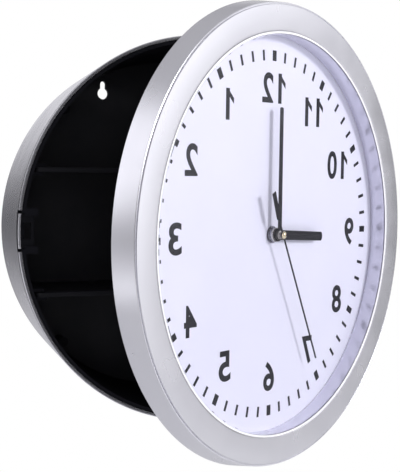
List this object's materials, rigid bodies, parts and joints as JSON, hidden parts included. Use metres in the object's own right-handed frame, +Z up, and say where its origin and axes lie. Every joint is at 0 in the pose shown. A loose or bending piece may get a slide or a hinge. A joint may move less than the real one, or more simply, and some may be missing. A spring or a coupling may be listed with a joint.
{
  "type": "clock diversion safe",
  "caption": "Round wall clock whose face is a hinged door over a hollow shelved case, used to hide small valuables.",
  "frame": {"origin": "centre of the flat back face, where the case meets the wall", "axes": "+Z up, +Y into the wall, +X to the hinge side, which is the viewer's right; the dial faces -Y when the door is shut, and the door is stored open by 27 degrees as pictured"},
  "size_m": [0.2428, 0.1853, 0.2536],
  "materials": {
    "silver_paint": "satin silver paint over moulded plastic",
    "black_plastic": "matt black moulded plastic",
    "white_dial": "white sheet with raised dark grey print",
    "clear_plastic": "clear polished plastic",
    "black_paint": "satin black paint on thin sheet",
    "brass": "bright brass",
    "steel": "plain zinc-coated steel",
    "coil_copper": "enamelled copper winding",
    "circuit_board": "green laminate",
    "battery_wrap": "printed sleeve left plain",
    "rubber": "matt black rubber"
  },
  "bodies": {
    "case": {"case_shell": "silver_paint", "case_liner": "black_plastic", "back_plate": "black_plastic", "back_screw_1": "steel", "back_screw_2": "steel", "back_screw_3": "steel", "back_screw_4": "steel", "shelf_upper": "black_plastic", "shelf_lower": "black_plastic", "hinge_pin_upper": "steel", "hinge_pin_lower": "steel"},
    "catch": {"catch_plate": "black_plastic", "catch_button": "silver_paint"},
    "door": {"bezel_ring": "silver_paint", "crystal": "clear_plastic", "dial_plate": "white_dial", "door_back": "black_plastic", "door_screw_1": "steel", "door_screw_2": "steel", "door_screw_3": "steel", "door_screw_4": "steel", "door_screw_5": "steel", "door_screw_6": "steel", "movement_case": "black_plastic", "movement_cover": "black_plastic", "movement_washer": "rubber", "movement_neck": "brass", "fixing_nut": "black_paint", "battery": "battery_wrap", "battery_contact_minus": "steel", "battery_contact_plus": "steel", "drive_coil": "coil_copper", "circuit_board": "circuit_board"},
    "set_knob": {"set_knob": "black_plastic"},
    "hour": {"hour_pipe": "brass", "hour_hand": "black_paint"},
    "minute": {"minute_pipe": "brass", "minute_hand": "black_paint"},
    "second": {"second_arbor": "steel", "second_hand": "black_paint", "hand_cap": "brass"}
  },
  "joints": [
    {"name": "door_hinge", "type": "hinge", "parent": "case", "child": "door", "pos_m": [0.115, -0.0645, 0], "axis": [0, 0, 1], "range_deg": [-27, 73]},
    {"name": "catch_press", "type": "slide", "parent": "case", "child": "catch", "axis": [1, 0, 0], "range_m": [0, 0.0016], "stiffness_N_per_m": 600},
    {"name": "minute_turn", "type": "hinge", "parent": "door", "child": "minute", "pos_m": [0.01382, -0.11923, 0], "axis": [0.454, -0.891, 0], "continuous": true},
    {"name": "hour_turn", "type": "hinge", "parent": "door", "child": "hour", "pos_m": [0.01382, -0.11923, 0], "axis": [0.454, -0.891, 0], "continuous": true},
    {"name": "second_turn", "type": "hinge", "parent": "door", "child": "second", "pos_m": [0.01382, -0.11923, 0], "axis": [0.454, -0.891, 0], "continuous": true},
    {"name": "knob_turn", "type": "hinge", "parent": "door", "child": "set_knob", "pos_m": [0.01341, -0.09662, 0], "axis": [0.454, -0.891, 0], "continuous": true}
  ],
  "couplings": [
    {"joint": "hour_turn", "follows": "minute_turn", "ratio": 0.083333},
    {"joint": "knob_turn", "follows": "minute_turn", "ratio": -0.33333}
  ]
}
